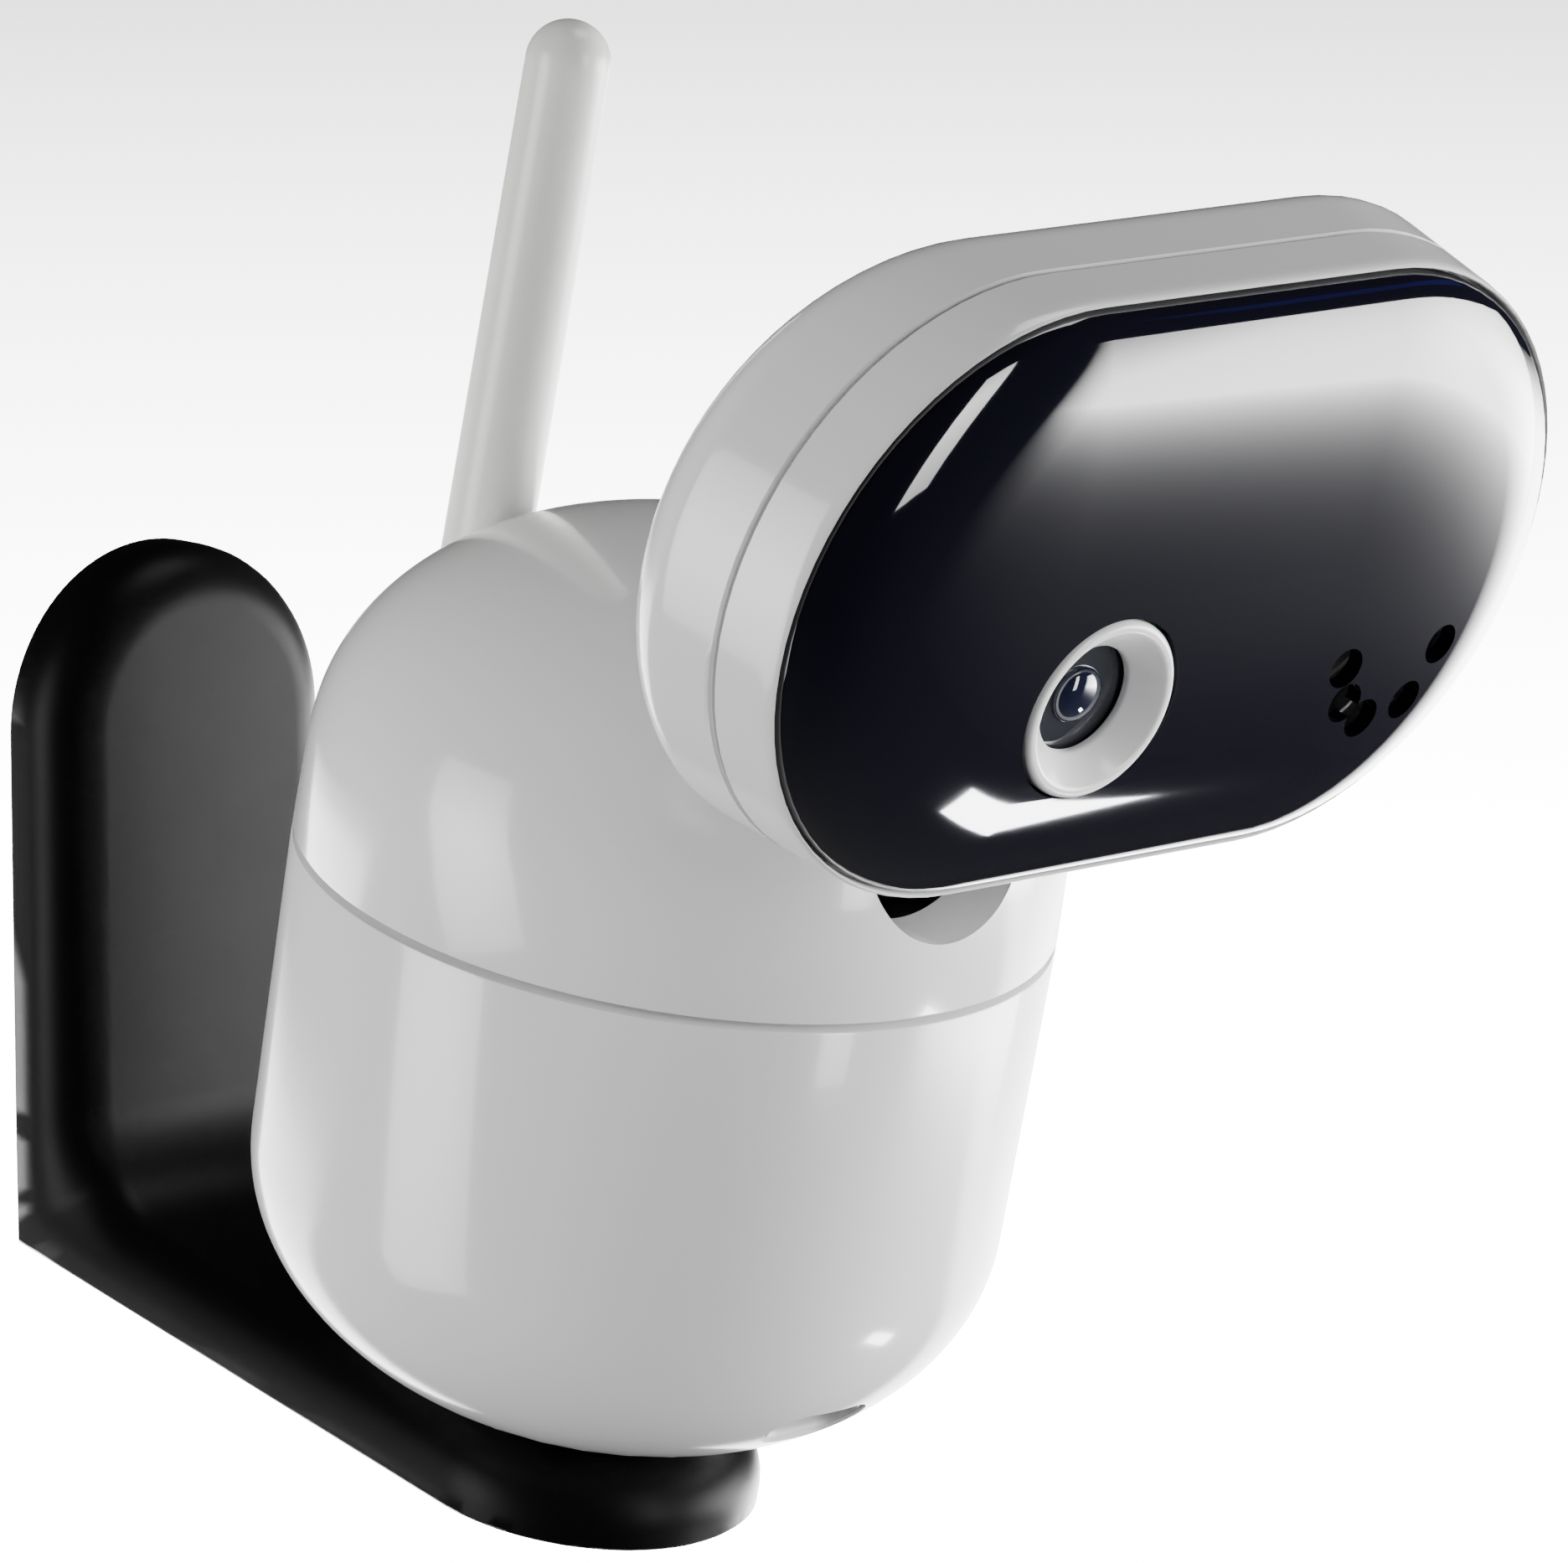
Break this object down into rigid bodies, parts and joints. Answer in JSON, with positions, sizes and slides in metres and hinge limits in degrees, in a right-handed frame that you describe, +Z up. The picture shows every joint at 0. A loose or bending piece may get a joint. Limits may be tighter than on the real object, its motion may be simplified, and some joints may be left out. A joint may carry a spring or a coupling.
{
  "type": "baby monitor camera",
  "caption": "Nursery camera on an L-shaped wall bracket: a round body whose upper part pans, a wide tilting head with a dark glass front, and a folding antenna.",
  "frame": {"origin": "centre of the bracket plate's flat wall face", "axes": "+Y towards the wall, +Z up, +X to the right of somebody who faces the lens; the camera looks towards -Y"},
  "size_m": [0.0974, 0.1521, 0.1426],
  "materials": {
    "white_gloss": "glossy white moulding",
    "black_soft": "matte soft-touch",
    "black_glass": "dark infrared-passing acrylic, polished",
    "antenna_pearl": "pearly satin",
    "dark_plastic": "moulded",
    "steel": "plated",
    "brass": "turned",
    "board_green": "solder mask over glass epoxy",
    "acetal": "natural acetal",
    "rubber": "moulded",
    "clear_lens": "polished optical",
    "grey_plastic": "moulded"
  },
  "bodies": {
    "base": {"base_cap": "white_gloss", "base_foot": "rubber", "base_screw_1": "steel", "base_screw_2": "steel", "base_screw_3": "steel", "chassis_screw_1": "steel", "chassis_screw_2": "steel", "chassis_screw_3": "steel", "inlet_cup": "grey_plastic", "lock_screw": "steel", "lower_shell": "white_gloss", "main_board": "board_green", "pan_chassis": "dark_plastic", "pan_motor": "steel", "power_socket": "steel", "thread_insert": "brass", "wall_bracket": "black_soft"},
    "pan_unit": {"hub_retainer": "steel", "pan_gear": "acetal", "turntable": "dark_plastic", "turntable_screw_1": "steel", "turntable_screw_2": "steel", "turntable_screw_3": "steel", "upper_shell": "white_gloss", "antenna_pin": "steel", "tilt_frame": "dark_plastic", "tilt_motor": "steel"},
    "head_unit": {"tilt_arm": "dark_plastic", "tilt_axle": "steel", "tilt_gear": "acetal", "head_bezel": "white_gloss", "head_middle_shell": "white_gloss", "head_rear_cap": "white_gloss", "front_glass": "black_glass", "lens_ring": "white_gloss", "lens_window": "clear_lens", "lens_barrel": "dark_plastic", "lens_element": "clear_lens", "head_board": "board_green", "head_frame": "dark_plastic", "ir_emitter_left": "clear_lens", "ir_emitter_right": "clear_lens", "light_sensor": "grey_plastic", "microphone": "steel", "speaker": "dark_plastic", "neck_screw_left": "steel", "neck_screw_right": "steel"},
    "antenna_unit": {"antenna": "antenna_pearl"},
    "pan_pinion_unit": {"pan_pinion": "acetal"},
    "tilt_pinion_unit": {"tilt_pinion": "acetal"},
    "button_unit": {"pair_button": "grey_plastic"}
  },
  "joints": [
    {"name": "pan", "type": "hinge", "parent": "base", "child": "pan_unit", "pos_m": [0, -0.07697, 0.01135], "axis": [0, -0.225, 0.9744], "range_deg": [-170, 170]},
    {"name": "tilt", "type": "hinge", "parent": "pan_unit", "child": "head_unit", "pos_m": [0, -0.09256, 0.02109], "axis": [1, 0, 0], "range_deg": [-35, 30]},
    {"name": "antenna_fold", "type": "hinge", "parent": "pan_unit", "child": "antenna_unit", "pos_m": [0, -0.04857, 0.03145], "axis": [-1, 0, 0], "range_deg": [0, 60]},
    {"name": "pan_pinion_spin", "type": "hinge", "parent": "base", "child": "pan_pinion_unit", "pos_m": [-0.01573, -0.08613, 0.00205], "axis": [0, -0.225, 0.9744], "range_deg": [-520, 520]},
    {"name": "tilt_pinion_spin", "type": "hinge", "parent": "pan_unit", "child": "tilt_pinion_unit", "pos_m": [0, -0.08204, 0.02352], "axis": [1, 0, 0], "range_deg": [-75, 75]},
    {"name": "pair_press", "type": "slide", "parent": "base", "child": "button_unit", "axis": [0, -0.9744, -0.225], "range_m": [0, 0.0008], "stiffness_N_per_m": 900, "springref_m": -0.0004}
  ],
  "couplings": [
    {"joint": "pan_pinion_spin", "follows": "pan", "ratio": -3},
    {"joint": "tilt_pinion_spin", "follows": "tilt", "ratio": -2}
  ]
}
